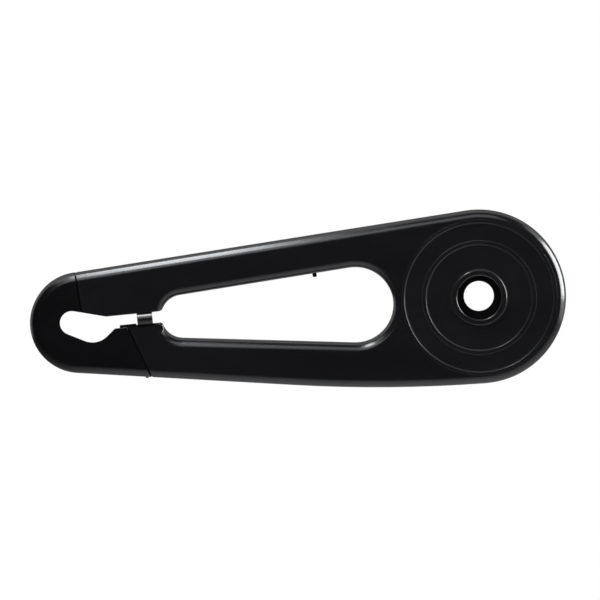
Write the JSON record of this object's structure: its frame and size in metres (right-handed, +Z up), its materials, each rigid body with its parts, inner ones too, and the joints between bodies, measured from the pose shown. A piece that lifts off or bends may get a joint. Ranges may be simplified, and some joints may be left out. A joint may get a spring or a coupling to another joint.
{
  "type": "bicycle chain guard",
  "caption": "Closed moulded chain guard for a city bicycle, with a window for the chainstay, a clip-on rear end and a round crank cover.",
  "frame": {"origin": "on the bottom bracket axis, at the seat that bears against the frame", "axes": "+X towards the front of the bicycle, +Y towards the frame along the bottom bracket axis, +Z up as the guard hangs on the bicycle"},
  "size_m": [0.6205, 0.0346, 0.2054],
  "materials": {
    "shell_plastic": "satin black, fine moulded grain",
    "cap_plastic": "satin black, fine moulded grain",
    "cover_plastic": "satin black, fine moulded grain"
  },
  "bodies": {
    "root": {"outer_shell": "shell_plastic", "inner_shell": "shell_plastic", "rear_cap": "cap_plastic", "crank_cover": "cover_plastic", "bridge_clip": "shell_plastic"}
  },
  "joints": []
}
